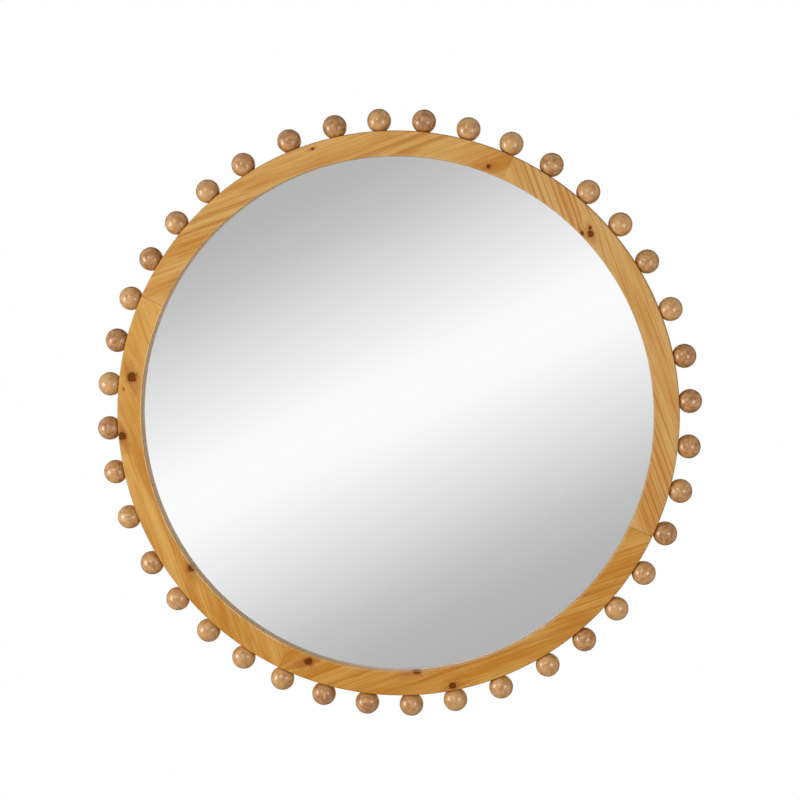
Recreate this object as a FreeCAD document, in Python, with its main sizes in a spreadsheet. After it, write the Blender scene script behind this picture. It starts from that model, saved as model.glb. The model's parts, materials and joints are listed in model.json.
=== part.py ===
import FreeCAD, Part
import math
import os

import Sketcher

# A round accent mirror. A laminated pine ring holds the glass in a rebate, and forty turned
# balls stand round its rim. The ring is two layers of four quarter segments whose joints
# are staggered. The front layer covers the edge of the glass and the rear layer carries
# the balls, ten to a segment.
# Axes: X to the right, Z up, and the mirror faces -Y. The wall is the plane Y = 0, and the
# origin is the point on the wall behind the middle of the glass.

doc = FreeCAD.newDocument("accent_mirror")

# Driving dimensions, in millimetres and degrees
SIZES = {
    # ring, front layer and rear layer
    "rim_radius": 377.0,
    "face_width": 34.0,
    "face_depth": 10.0,
    "rear_depth": 14.0,
    "rebate_width": 10.0,
    "arris_chamfer": 0.8,
    "segment_count": 4,
    "face_joint_angle": 65.3,
    "rear_joint_angle": 26.5,
    # balls
    "ball_radius": 16.0,
    "ball_flat_depth": 2.5,
    "balls_per_segment": 10,
    "lead_pitch_ratio": 1.07,
    "gap_pitch_ratio": 1.16,
    "ball_sides": 12,
    # glass and what lies behind it
    "glass_depth": 3.0,
    "board_depth": 3.0,
    "glass_clearance": 1.5,
    # glazing points
    "point_count": 16,
    "point_length": 12.0,
    "point_width": 6.0,
    "point_thickness": 0.5,
    # hangers
    "hanger_angle": 15.0,
    "hanger_rim_inset": 2.8,
    "strap_width": 10.0,
    "strap_length": 30.0,
    "strap_thickness": 1.2,
    "strap_curl_angle": 285.0,
    "wire_radius": 1.6,
    "wire_fit": 0.05,
    "ring_side_play": 1.2,
    "ring_leg": 4.0,
    "ring_corner_radius": 2.4,
    "wire_sides": 12,
    "bow_runs": 8,
    "corner_runs": 2,
    # screws of the hangers
    "screw_radius": 1.75,
    "screw_head_radius": 3.5,
    "screw_tip_length": 3.0,
    "screw_tip_radius": 0.4,
    "screw_sides": 12,
    "screw_fit": 0.05,
    # pads that keep the balls clear of the wall
    "wall_clearance": 2.0,
    "pad_width": 16.0,
    # one overrun for every cut
    "overrun": 1.0,
}

# Places along a length, as shares of it
SCREW_PLACE_SHARES = (0.36, 0.78)
SCREW_BITE_SHARE = 0.7
# Polar angles of the rings of corners on a ball, as shares of the arc from its top to its flat
BALL_RING_SHARES = (0.07, 0.24, 0.43, 0.62, 0.81, 1.0)
# How far the corners of a piece drawn in flats stand out, so that its flats average its radius
CORNER_SHARE = 1.016

sheet = doc.addObject("Spreadsheet::Sheet", "sizes")
for row, (alias, number) in enumerate(SIZES.items(), start=1):
    sheet.set(f"A{row}", alias)
    sheet.set(f"B{row}", str(number))
    sheet.setAlias(f"B{row}", alias)
doc.recompute()

# Sizes that follow from the driving ones, as expressions on the sheet
SIGHT_RADIUS = "(sizes.rim_radius - sizes.face_width)"
REBATE_RADIUS = f"({SIGHT_RADIUS} + sizes.rebate_width)"
BAND_RADIUS = f"(({REBATE_RADIUS} + sizes.rim_radius) / 2)"
RING_DEPTH = "(sizes.face_depth + sizes.rear_depth)"
STAND_OFF = f"(sizes.ball_radius - {RING_DEPTH} / 2 + sizes.wall_clearance)"
REAR_FRONT = f"({STAND_OFF} + sizes.rear_depth)"
FACE_FRONT = f"({STAND_OFF} + {RING_DEPTH})"
GLASS_RADIUS = f"({REBATE_RADIUS} - sizes.glass_clearance)"
BOARD_FRONT = f"({REAR_FRONT} - sizes.glass_depth)"
BOARD_BACK = f"({BOARD_FRONT} - sizes.board_depth)"
BALL_SEAT = "(sizes.ball_radius - sizes.ball_flat_depth)"
PIN_HEIGHT = "(sizes.wire_radius + sizes.wire_fit + sizes.strap_thickness)"
RING_HALF_WIDTH = "(sizes.strap_width / 2 + sizes.ring_side_play + sizes.wire_radius)"
SCREW_LENGTH = f"(sizes.strap_thickness + sizes.rear_depth * {SCREW_BITE_SHARE})"


def value(expression):
    """The number that an expression on the sheet gives."""
    return float(sheet.evalExpression(expression))


def size(alias):
    """One driving dimension."""
    return value(f"sizes.{alias}")


def turned(angle):
    """A turn about the mirror's axis, counter-clockwise for someone who faces the mirror."""
    return FreeCAD.Rotation(FreeCAD.Vector(0, -1, 0), angle)


def origin_plane(body, role):
    """One of a body's own origin planes."""
    return next(plane for plane in body.Origin.OriginFeatures if plane.Role == role)


def closed_sketch(body, role, corners):
    """A closed sketch of straight lines whose corners are pairs of expressions."""
    sketch = body.newObject("Sketcher::SketchObject", f"{body.Name}_section")
    sketch.AttachmentSupport = [(origin_plane(body, role), "")]
    sketch.MapMode = "FlatFace"
    points = [FreeCAD.Vector(value(across), value(along), 0) for across, along in corners]
    for index, start in enumerate(points):
        end = points[(index + 1) % len(points)]
        sketch.addGeometry(Part.LineSegment(start, end), False)
    for index in range(len(points)):
        following = (index + 1) % len(points)
        sketch.addConstraint(Sketcher.Constraint("Coincident", index, 2, following, 1))
    for index, (across, along) in enumerate(corners):
        start = points[index]
        place_x = sketch.addConstraint(Sketcher.Constraint("DistanceX", index, 1, start.x))
        sketch.setExpression(f"Constraints[{place_x}]", across)
        place_y = sketch.addConstraint(Sketcher.Constraint("DistanceY", index, 1, start.y))
        sketch.setExpression(f"Constraints[{place_y}]", along)
    return sketch


def revolved_body(name, corners, angle):
    """A body turned about its own Y axis from a section of (radius, place along Y)."""
    body = doc.addObject("PartDesign::Body", name)
    sketch = closed_sketch(body, "XY_Plane", corners)
    turn = body.newObject("PartDesign::Revolution", f"{name}_turn")
    turn.Profile = sketch
    turn.ReferenceAxis = (sketch, ["V_Axis"])
    turn.setExpression("Angle", angle)
    turn.Reversed = True
    return body


def placed_copy(name, shape, placement):
    """A sub-part that repeats a finished shape at a place of its own."""
    piece = doc.addObject("Part::Feature", name)
    piece.Shape = shape
    piece.Placement = placement.multiply(shape.Placement)
    return piece


# The ring's two layers, four segments each

SEGMENT_ANGLE = "(360 / sizes.segment_count)"
SEGMENT_NAMES = ("top", "left", "bottom", "right")

FACE_SECTION = [
    (SIGHT_RADIUS, f"-{REAR_FRONT}"),
    ("sizes.rim_radius", f"-{REAR_FRONT}"),
    ("sizes.rim_radius", f"-{FACE_FRONT} + sizes.arris_chamfer"),
    ("sizes.rim_radius - sizes.arris_chamfer", f"-{FACE_FRONT}"),
    (f"{SIGHT_RADIUS} + sizes.arris_chamfer", f"-{FACE_FRONT}"),
    (SIGHT_RADIUS, f"-{FACE_FRONT} + sizes.arris_chamfer"),
]
REAR_SECTION = [
    (REBATE_RADIUS, f"-{STAND_OFF}"),
    ("sizes.rim_radius", f"-{STAND_OFF}"),
    ("sizes.rim_radius", f"-{REAR_FRONT}"),
    (REBATE_RADIUS, f"-{REAR_FRONT}"),
]


def ring_segment(name, section, joint_alias, index):
    """One quarter of a layer, from its joint counter-clockwise to the next one."""
    body = revolved_body(name, section, SEGMENT_ANGLE)
    body.Placement = FreeCAD.Placement(FreeCAD.Vector(), turned(0))
    body.setExpression(
        ".Placement.Rotation.Angle", f"sizes.{joint_alias} + {index} * {SEGMENT_ANGLE}"
    )
    return body


SUBPARTS = []
for index, side in enumerate(SEGMENT_NAMES):
    SUBPARTS.append(ring_segment(f"face_segment_{side}", FACE_SECTION, "face_joint_angle", index))
rear_blanks = [
    ring_segment(f"rear_blank_{side}", REAR_SECTION, "rear_joint_angle", index)
    for index, side in enumerate(SEGMENT_NAMES)
]


def primitive(kind, name, sizes, place=("0", "0", "0"), rotation=None):
    """A primitive solid whose sizes and place are expressions on the sheet."""
    solid = doc.addObject(kind, name)
    if rotation is not None:
        solid.Placement = FreeCAD.Placement(FreeCAD.Vector(), rotation)
    for prop, expression in sizes.items():
        solid.setExpression(prop, expression)
    for axis, expression in zip("xyz", place):
        solid.setExpression(f".Placement.Base.{axis}", expression)
    return solid


def joined(name, solids):
    """Solids fused into one."""
    fuse = doc.addObject("Part::MultiFuse", name)
    fuse.Shapes = solids
    return fuse


def cut(name, base, tool):
    """A base solid less a tool solid."""
    result = doc.addObject("Part::Cut", name)
    result.Base = base
    result.Tool = tool
    return result


def grouped_copies(name, shape, placements):
    """Separate copies of one finished shape, kept together as a group."""
    copies = []
    for placement in placements:
        copy = shape.copy()
        copy.Placement = placement.multiply(shape.Placement)
        copies.append(copy)
    group = doc.addObject("Part::Feature", name)
    group.Shape = Part.makeCompound(copies)
    return group


def flat_face(corners):
    """A flat face from its corners."""
    return Part.Face(Part.makePolygon(corners + corners[:1]))


def corner_ring(centre, first, second, sides, lead_share=1 / 2):
    """Corners about a centre, an equal part of a turn apart, on two half axes."""
    turns = [(side + lead_share) * 2 * math.pi / sides for side in range(sides)]
    return [centre + first * math.cos(turn) + second * math.sin(turn) for turn in turns]


def solid_in_flats(rings, closed):
    """A solid of flat faces between rings of corners, with ends unless it closes on itself."""
    following_rings = rings[1:] + rings[:1] if closed else rings[1:]
    faces = [] if closed else [flat_face(rings[0]), flat_face(rings[-1])]
    for near, far in zip(rings, following_rings):
        for side in range(len(near)):
            other = (side + 1) % len(near)
            faces.append(flat_face([near[side], near[other], far[other], far[side]]))
    solid = Part.Solid(Part.Shell(faces))
    if solid.Volume < 0:
        solid.reverse()
    return solid


AXIS_X = FreeCAD.Vector(1, 0, 0)
AXIS_Y = FreeCAD.Vector(0, 1, 0)
AXIS_Z = FreeCAD.Vector(0, 0, 1)
ALONG_Y = FreeCAD.Rotation(AXIS_X, -90)
OUTWARD = FreeCAD.Rotation(AXIS_Y, 90)


def on_ring(angle, radius, depth, turn=None):
    """A place on the ring: an angle about its axis, a radius and a distance from the wall."""
    about = turned(angle)
    base = about.multVec(FreeCAD.Vector(radius, -depth, 0))
    return FreeCAD.Placement(base, about.multiply(turn) if turn else about)


# The balls. A turned ball is drawn in flats, so that forty of them stay light, from a small
# button at its top to the flat that it is glued by.

def ball_solid():
    """One ball about the origin, with its top towards +Z."""
    radius = size("ball_radius")
    sides = int(size("ball_sides"))
    arc = math.acos(-value(BALL_SEAT) / radius)
    rings = []
    for index, share in enumerate(BALL_RING_SHARES):
        height = radius if index == 0 else radius * math.cos(share * arc)
        across = CORNER_SHARE * radius * math.sin(share * arc)
        rings.append(corner_ring(AXIS_Z * height, AXIS_X * across, AXIS_Y * across, sides, 0))
    return solid_in_flats(rings, closed=False)


ball_blank = ball_solid()

# Ten balls stand on each rear segment. Clockwise from its joint come half a wide gap, a
# slightly long pitch and then even pitches.

segment_angle = value(SEGMENT_ANGLE)
balls_per_segment = int(size("balls_per_segment"))
pitches = balls_per_segment - 2 + size("lead_pitch_ratio") + size("gap_pitch_ratio")
ball_pitch = segment_angle / pitches
ball_depth = value(f"{STAND_OFF} + {RING_DEPTH} / 2")
rim_radius = size("rim_radius")


def ball_angle(segment_index, ball_index):
    """The angle of one ball, counted clockwise along its segment."""
    last_joint = size("rear_joint_angle") + (segment_index + 1) * segment_angle
    steps = size("gap_pitch_ratio") / 2
    if ball_index > 0:
        steps += size("lead_pitch_ratio") + ball_index - 1
    return last_joint - steps * ball_pitch


for segment_index, side in enumerate(SEGMENT_NAMES):
    for ball_index in range(balls_per_segment):
        angle = ball_angle(segment_index, ball_index)
        seat = on_ring(angle, rim_radius + value(BALL_SEAT), ball_depth, OUTWARD)
        SUBPARTS.append(placed_copy(f"ball_{side}_{ball_index + 1:02d}", ball_blank, seat))

# The glass in its rebate and the board that closes the back

for name, thickness, front in (
    ("mirror_glass", "sizes.glass_depth", REAR_FRONT),
    ("backing_board", "sizes.board_depth", BOARD_FRONT),
):
    SUBPARTS.append(
        primitive(
            "Part::Cylinder", name, {"Radius": GLASS_RADIUS, "Height": thickness},
            ("0", f"-{front}", "0"), ALONG_Y,
        )
    )

# The glazing points: thin steel plates driven into the rebate's wall behind the board

POINT_SECTION = [
    ("-sizes.point_length / 2", "-sizes.point_width / 2"),
    ("0", "-sizes.point_width / 2"),
    ("sizes.point_length / 2", "0"),
    ("0", "sizes.point_width / 2"),
    ("-sizes.point_length / 2", "sizes.point_width / 2"),
]
point_blank = doc.addObject("PartDesign::Body", "point_blank")
point_pad = point_blank.newObject("PartDesign::Pad", "point_pad")
point_pad.Profile = closed_sketch(point_blank, "XZ_Plane", POINT_SECTION)
point_pad.setExpression("Length", "sizes.point_thickness")
point_pad.Reversed = True
doc.recompute()
point_count = int(size("point_count"))
point_places = [
    on_ring((index + 1 / 2) * 360 / point_count, value(REBATE_RADIUS), value(BOARD_BACK))
    for index in range(point_count)
]
glazing_points = grouped_copies("glazing_points", point_blank.Shape, point_places)
SUBPARTS.append(glazing_points)

# The hangers. Each is a steel strap screwed to the back of the ring, with a wire D that
# swings in the eye rolled at its upper end. Local frame: the origin lies on the ring's back
# behind the wire's axis, +Y points to the wall and the strap runs down from the eye.

HALF_STRAP = "sizes.strap_width / 2"


def strap_solid():
    """The plate with its round end and the rolled eye, before its screw holes."""
    plate_sizes = {
        "Length": "sizes.strap_width",
        "Width": "sizes.strap_thickness",
        "Height": f"sizes.strap_length - {HALF_STRAP}",
    }
    end_place = ("0", "0", f"{HALF_STRAP} - sizes.strap_length")
    plate_place = (f"-{HALF_STRAP}", "0", end_place[2])
    plate = primitive("Part::Box", "strap_plate", plate_sizes, plate_place)
    end_sizes = {"Radius": HALF_STRAP, "Height": "sizes.strap_thickness"}
    end = primitive("Part::Cylinder", "strap_end", end_sizes, end_place, ALONG_Y)
    # the sector starts at the wood and rolls up and over, away from the plate
    rolled = FreeCAD.Rotation(AXIS_Y, -90).multiply(FreeCAD.Rotation(AXIS_Z, -90))
    roll_sizes = {
        "Radius": PIN_HEIGHT,
        "Height": "sizes.strap_width",
        "Angle": "sizes.strap_curl_angle",
    }
    roll = primitive(
        "Part::Cylinder", "strap_roll", roll_sizes, (HALF_STRAP, PIN_HEIGHT, "0"), rolled
    )
    bore_sizes = {
        "Radius": "sizes.wire_radius + sizes.wire_fit",
        "Height": "sizes.strap_width + 2 * sizes.overrun",
    }
    bore_place = (f"{HALF_STRAP} + sizes.overrun", PIN_HEIGHT, "0")
    bore = primitive("Part::Cylinder", "strap_bore", bore_sizes, bore_place, rolled)
    return joined("strap_blank", [plate, end, cut("strap_eye", roll, bore)])


def bend_points(centre_x, centre_z, radius, start, sweep, runs):
    """Points along a bend of the wire, by angles in degrees from +X towards +Z."""
    angles = [math.radians(start + sweep * step / runs) for step in range(runs + 1)]
    return [
        FreeCAD.Vector(centre_x + radius * math.cos(turn), 0, centre_z + radius * math.sin(turn))
        for turn in angles
    ]


def wire_ring_solid():
    """The D, hanging down from its bar, as a closed wire of short straight runs."""
    corner = size("ring_corner_radius")
    corner_runs = int(size("corner_runs"))
    half_width = value(RING_HALF_WIDTH)
    bar_half = half_width - corner
    bow_centre = -corner - size("ring_leg")
    route = bend_points(bar_half, -corner, corner, 90, -90, corner_runs)
    route += bend_points(0, bow_centre, half_width, 0, -180, int(size("bow_runs")))
    route += bend_points(-bar_half, -corner, corner, 180, -90, corner_runs)
    sides = int(size("wire_sides"))
    rings = []
    for index, point in enumerate(route):
        before = (point - route[index - 1]).normalize()
        after = (route[(index + 1) % len(route)] - point).normalize()
        along = (before + after).normalize()
        mitre = AXIS_Y.cross(along) * (size("wire_radius") / along.dot(after))
        rings.append(corner_ring(point, AXIS_Y * size("wire_radius"), mitre, sides))
    ring = solid_in_flats(rings, closed=True)
    ring.translate(AXIS_Y * value(PIN_HEIGHT))
    return ring


def screw_solid(allowance):
    """A countersunk screw with its head up to +Y, and an allowance added all round."""
    head_radius = size("screw_head_radius")
    shank_radius = size("screw_radius")
    length = value(SCREW_LENGTH)
    stations = [
        (head_radius, 0),
        (shank_radius, shank_radius - head_radius),
        (shank_radius, size("screw_tip_length") - length),
        (size("screw_tip_radius"), -length),
    ]
    rings = []
    for radius, along in stations:
        across = radius + allowance
        height = along - allowance if along == -length else along
        rings.append(
            corner_ring(AXIS_Y * height, AXIS_X * across, AXIS_Z * across, int(size("screw_sides")))
        )
    return solid_in_flats(rings, closed=False)


strap_blank = strap_solid()
wire_ring = wire_ring_solid()
screw_blank = screw_solid(0)
screw_hole = screw_solid(size("screw_fit"))
doc.recompute()

strap_places = [
    FreeCAD.Placement(
        FreeCAD.Vector(0, size("strap_thickness"), -share * size("strap_length")),
        FreeCAD.Rotation(),
    )
    for share in SCREW_PLACE_SHARES
]
strap = cut("strap", strap_blank, grouped_copies("strap_holes", screw_hole, strap_places))
doc.recompute()

# The strap's middle lies at the hanger's angle, and the wire's upper outer corner stays
# hidden behind the ring, by the inset.
strap_middle = value(BAND_RADIUS) * math.sin(math.radians(size("hanger_angle")))
hanger_height = strap_middle + size("strap_length") / 2
hidden_radius = size("rim_radius") - size("hanger_rim_inset")
corner_across = math.sqrt(hidden_radius**2 - (hanger_height + size("wire_radius")) ** 2)
hanger_across = corner_across - value(RING_HALF_WIDTH) - size("wire_radius")
screw_places = []
for side, sign in (("left", -1), ("right", 1)):
    foot = FreeCAD.Vector(sign * hanger_across, -value(STAND_OFF), hanger_height)
    hanger_place = FreeCAD.Placement(foot, FreeCAD.Rotation())
    SUBPARTS.append(placed_copy(f"hanger_strap_{side}", strap.Shape, hanger_place))
    SUBPARTS.append(placed_copy(f"hanger_ring_{side}", wire_ring, hanger_place))
    screw_places += [hanger_place.multiply(place) for place in strap_places]
SUBPARTS.append(grouped_copies("hanger_screws", screw_blank, screw_places))

# The square pads that rest on the wall

HALF_PAD = "sizes.pad_width / 2"
pad_sizes = {"Length": "sizes.pad_width", "Width": STAND_OFF, "Height": "sizes.pad_width"}
pad_blank = primitive("Part::Box", "pad_blank", pad_sizes, (f"-{HALF_PAD}", "0", f"-{HALF_PAD}"))
doc.recompute()
pad_places = [
    on_ring((index + 1 / 2) * segment_angle, value(BAND_RADIUS), value(STAND_OFF))
    for index in range(len(SEGMENT_NAMES))
]
SUBPARTS.append(grouped_copies("wall_pads", pad_blank.Shape, pad_places))

# The rear segments, with the points' slits and the screws' holes

rim_cuts = doc.addObject("Part::Feature", "rim_cuts")
rim_cuts.Shape = Part.makeCompound([
    glazing_points.Shape,
    grouped_copies("screw_holes", screw_hole, screw_places).Shape,
])
for side, blank in zip(SEGMENT_NAMES, rear_blanks):
    SUBPARTS.append(cut(f"rear_segment_{side}", blank, rim_cuts))
doc.recompute()

# Nothing is written unless every object and every sub-part is sound.

for obj in doc.Objects:
    if "Invalid" in obj.State or "Error" in obj.State:
        raise RuntimeError(f"{obj.Name} failed: {obj.State}")
os.makedirs("parts", exist_ok=True)
for piece in SUBPARTS:
    piece.Label = piece.Name
    if piece.Shape.isNull() or not piece.Shape.isValid():
        raise RuntimeError(f"{piece.Label} has no sound shape")
for piece in SUBPARTS:
    piece.Shape.exportStep(f"parts/{piece.Label}.step")
print(len(SUBPARTS), "sub-parts")
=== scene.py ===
# %% [markdown]
# A round accent mirror in a laminated pine ring, with forty turned balls round its rim.
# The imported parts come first, because every visible piece is placed by them. A few helpers
# read a part's own points, so that the ring's sizes aren't typed here a second time.

# %% Load the frame
import json
import math

import bmesh
import bpy
import numpy as np
from mathutils import Matrix, Vector


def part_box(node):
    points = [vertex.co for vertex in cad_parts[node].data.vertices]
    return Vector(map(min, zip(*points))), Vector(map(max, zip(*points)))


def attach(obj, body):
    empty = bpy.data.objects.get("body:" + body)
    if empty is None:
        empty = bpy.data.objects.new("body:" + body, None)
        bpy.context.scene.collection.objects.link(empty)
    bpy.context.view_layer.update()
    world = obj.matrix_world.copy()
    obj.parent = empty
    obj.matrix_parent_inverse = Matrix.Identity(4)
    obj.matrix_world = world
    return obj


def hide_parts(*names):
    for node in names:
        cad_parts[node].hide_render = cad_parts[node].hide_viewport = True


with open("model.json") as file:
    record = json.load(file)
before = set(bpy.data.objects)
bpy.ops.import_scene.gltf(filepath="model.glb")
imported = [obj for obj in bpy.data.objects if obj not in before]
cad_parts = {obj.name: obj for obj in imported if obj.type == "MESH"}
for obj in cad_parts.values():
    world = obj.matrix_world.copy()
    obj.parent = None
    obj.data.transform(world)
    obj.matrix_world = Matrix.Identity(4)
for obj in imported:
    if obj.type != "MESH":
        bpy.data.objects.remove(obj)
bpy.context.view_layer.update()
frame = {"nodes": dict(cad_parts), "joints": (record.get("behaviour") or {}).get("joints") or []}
MM = 0.001


def node_points(node):
    """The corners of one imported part, in metres."""
    mesh = frame["nodes"][node].data
    points = np.empty(len(mesh.vertices) * 3)
    mesh.vertices.foreach_get("co", points)
    return points.reshape(-1, 3)


def ring_limits(node):
    """Least and greatest radius about the mirror's axis, then least and greatest Y."""
    points = node_points(node)
    radii = np.hypot(points[:, 0], points[:, 2])
    return radii.min(), radii.max(), points[:, 1].min(), points[:, 1].max()


def middle_turn(points):
    """The angle of the middle of some points, in radians counter-clockwise from the right."""
    return math.atan2(points[:, 2].mean(), points[:, 0].mean())


def ring_span(node):
    """The angles of the start and the end of a segment."""
    points = node_points(node)
    middle = middle_turn(points)
    turns = np.arctan2(points[:, 2], points[:, 0]) - middle
    turns = (turns + math.pi) % (2 * math.pi) - math.pi
    return middle + turns.min(), middle + turns.max()


SIGHT_RADIUS, RIM_RADIUS, FACE_FRONT, FACE_BACK = ring_limits("face_segment_top")
REBATE_RADIUS, _, REAR_FRONT, REAR_BACK = ring_limits("rear_segment_top")
print("sight, rebate and rim radius", SIGHT_RADIUS, REBATE_RADIUS, RIM_RADIUS)
print("layers along Y", FACE_FRONT, FACE_BACK, REAR_BACK)

# %% [markdown]
# Materials and meshes are grown from node trees. A few short helpers keep those trees
# readable: one adds a node and fills its inputs, with a link where the input is a socket,
# and the others wrap the nodes that come up again and again.

# %% Helpers for node trees


def add_node(tree, kind, inputs=None, **settings):
    """Adds a node. An input given as a socket is linked, and any other is set."""
    made = tree.nodes.new(kind)
    for name, setting in settings.items():
        setattr(made, name, setting)
    for key, source in (inputs or {}).items():
        if isinstance(source, bpy.types.NodeSocket):
            tree.links.new(source, made.inputs[key])
        else:
            made.inputs[key].default_value = source
    return made


def out_of(tree, kind, inputs=None, **settings):
    """Adds a node and gives its first output."""
    return add_node(tree, kind, inputs, **settings).outputs[0]


def math_of(tree, operation, *values, clamp=False):
    """The output of one Math node."""
    return out_of(
        tree, "ShaderNodeMath", dict(enumerate(values)), operation=operation, use_clamp=clamp
    )


def vector_of(tree, operation, *values):
    """The output of one Vector Math node."""
    made = add_node(tree, "ShaderNodeVectorMath", dict(enumerate(values)), operation=operation)
    return made.outputs["Value" if operation in ("LENGTH", "DOT_PRODUCT") else "Vector"]


def weighed_length(tree, vector, weights):
    """A vector's length, with each axis weighed first."""
    return vector_of(tree, "LENGTH", vector_of(tree, "MULTIPLY", vector, weights))


def eased(tree, value, low, high, start=0.0, end=1.0, curve="SMOOTHSTEP"):
    """A value eased from start to end while it goes from low to high."""
    return out_of(
        tree, "ShaderNodeMapRange",
        {"Value": value, "From Min": low, "From Max": high, "To Min": start, "To Max": end},
        interpolation_type=curve,
    )


# %% [markdown]
# The camera stands a little to the right of the mirror and a little above its middle, about
# three metres away. That follows from the photograph: the inner wall of the ring shows most
# at the lower left, the balls lie behind the front face by a known depth, and the ring is
# slightly narrower than it is high. The lens then follows from the size in the frame.

# %% The camera
CAMERA_RIGHT = 0.400
CAMERA_UP = 0.250
CAMERA_DISTANCE = 3.2
LENS = 108.3
AIM_RIGHT = 0.0076
AIM_UP = 0.0205


def scene_object(name, data):
    """Links data into the scene as an object at the origin."""
    made = bpy.data.objects.new(name, data)
    bpy.context.scene.collection.objects.link(made)
    return made


camera_data = bpy.data.cameras.new("camera")
camera_data.lens = LENS
camera = scene_object("camera", camera_data)
camera_back = math.sqrt(CAMERA_DISTANCE**2 - CAMERA_RIGHT**2 - CAMERA_UP**2)
camera.location = (CAMERA_RIGHT, FACE_FRONT - camera_back, CAMERA_UP)
aim = Vector((AIM_RIGHT, FACE_FRONT, AIM_UP)) - camera.location
camera.rotation_euler = aim.to_track_quat("-Z", "Y").to_euler()
bpy.context.scene.camera = camera
bpy.context.scene.view_settings.view_transform = "Standard"
print("camera at", tuple(camera.location))

# %% [markdown]
# The studio. Two tall soft boxes give each ball its pair of highlights, a third fills from
# above, and a weak even world does the rest. The background is white, so the world is plain
# white to the camera, in a reflection and through glass, and weak for all other rays.

# %% Lamps and world
AMBIENT_STRENGTH = 0.36
# name, azimuth from straight in front, distance, width, height, height of its middle, watts
SOFT_BOXES = (
    ("left_box", -62, 2.3, 0.45, 1.0, -0.1, 30.0),
    ("right_box", 46, 2.3, 0.28, 0.60, -0.1, 14.0),
    ("front_box", -16, 3.4, 1.2, 0.8, 1.3, 22.0),
)


def soft_box(name, azimuth, distance, width, height, centre_height, power):
    """An area lamp that faces the mirror."""
    data = bpy.data.lights.new(name, "AREA")
    data.shape = "RECTANGLE"
    data.size, data.size_y = width, height
    data.energy = power
    lamp = scene_object(name, data)
    turn = math.radians(azimuth)
    lamp.location = (distance * math.sin(turn), -distance * math.cos(turn), centre_height)
    lamp.rotation_euler = (-lamp.location).to_track_quat("-Z", "Y").to_euler()
    print(name, "at", tuple(lamp.location), power, "W")


def white_to_eye(tree):
    """1 for rays from the camera, from a reflection and through glass, and otherwise 0."""
    rays = add_node(tree, "ShaderNodeLightPath").outputs
    seen = math_of(tree, "MAXIMUM", rays["Is Camera Ray"], rays["Is Glossy Ray"])
    return math_of(tree, "MAXIMUM", seen, rays["Is Transmission Ray"])


for box in SOFT_BOXES:
    soft_box(*box)

world = bpy.data.worlds.new("studio")
world.use_nodes = True
bpy.context.scene.world = world
tree = world.node_tree
tree.nodes.clear()
ambient, white = (
    out_of(tree, "ShaderNodeBackground", {"Color": (1, 1, 1, 1), "Strength": strength})
    for strength in (AMBIENT_STRENGTH, 1.0)
)
mixed = out_of(tree, "ShaderNodeMixShader", {0: white_to_eye(tree), 1: ambient, 2: white})
add_node(tree, "ShaderNodeOutputWorld", {"Surface": mixed})

# %% [markdown]
# The floor lies well below the mirror. Near it the floor is a pale surface like any other,
# and further away it fades to the white of the background.

# %% The floor
FLOOR_HALF = 9.0
FLOOR_HEIGHT = -1.85
FLOOR_NEAR = 0.9
FLOOR_FAR = 2.6
FLOOR_TONE = (0.93, 0.93, 0.93, 1)


def new_material(name):
    """An empty material and its tree."""
    material = bpy.data.materials.new(name)
    material.use_nodes = True
    material.node_tree.nodes.clear()
    return material, material.node_tree


def object_place(tree):
    """The place of a point in object coordinates."""
    return add_node(tree, "ShaderNodeTexCoord").outputs["Object"]


def glow_of(tree, colour, strength):
    """Light that a surface gives off."""
    return out_of(tree, "ShaderNodeEmission", {"Color": colour, "Strength": strength})


def end_with(tree, surface):
    """Sends a shader to a material's output."""
    add_node(tree, "ShaderNodeOutputMaterial", {"Surface": surface})


def floor_material():
    """Pale, and eased to plain white for what looks at it far from the mirror."""
    material, tree = new_material("floor")
    away = weighed_length(tree, object_place(tree), (1, 1, 0))
    share = math_of(tree, "MULTIPLY", white_to_eye(tree), eased(tree, away, FLOOR_NEAR, FLOOR_FAR))
    pale = out_of(tree, "ShaderNodeBsdfDiffuse", {"Color": FLOOR_TONE})
    white = glow_of(tree, (1, 1, 1, 1), 1.0)
    end_with(tree, out_of(tree, "ShaderNodeMixShader", {0: share, 1: pale, 2: white}))
    return material


def mesh_object(name, mesh, *materials):
    """A mesh as an object with its materials."""
    for material in materials:
        mesh.materials.append(material)
    return scene_object(name, mesh)


def rectangle(left, right, low, high):
    """The four corners of a rectangle, counter-clockwise."""
    return (left, low), (right, low), (right, high), (left, high)


floor_mesh = bpy.data.meshes.new("floor")
square = rectangle(-FLOOR_HALF, FLOOR_HALF, -FLOOR_HALF, FLOOR_HALF)
floor_mesh.from_pydata([(x, y, FLOOR_HEIGHT) for x, y in square], [], [(0, 1, 2, 3)])
floor = mesh_object("floor", floor_mesh, floor_material())
print("floor at", FLOOR_HEIGHT)

# %% [markdown]
# What a mirror shows is its room, so a large dome in front carries the soft diagonal sheen
# that the glass reflects. Its bands run one way only, so their tone depends on a single
# distance, folded back and forth and sent through a colour ramp.

# %% The dome
DOME_RADIUS = 7.0
DOME_SEGMENTS = 64
DOME_RINGS = 32
SHEEN_TURN = 26.0
SHEEN_HALF_PERIOD = 1.09
SHEEN_PLACE = (-0.90, -0.50)
SHEEN_STOPS = ((0.0, 1.0), (0.12, 0.985), (0.45, 0.755), (0.68, 0.575), (0.85, 0.492), (1.0, 0.47))


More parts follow.
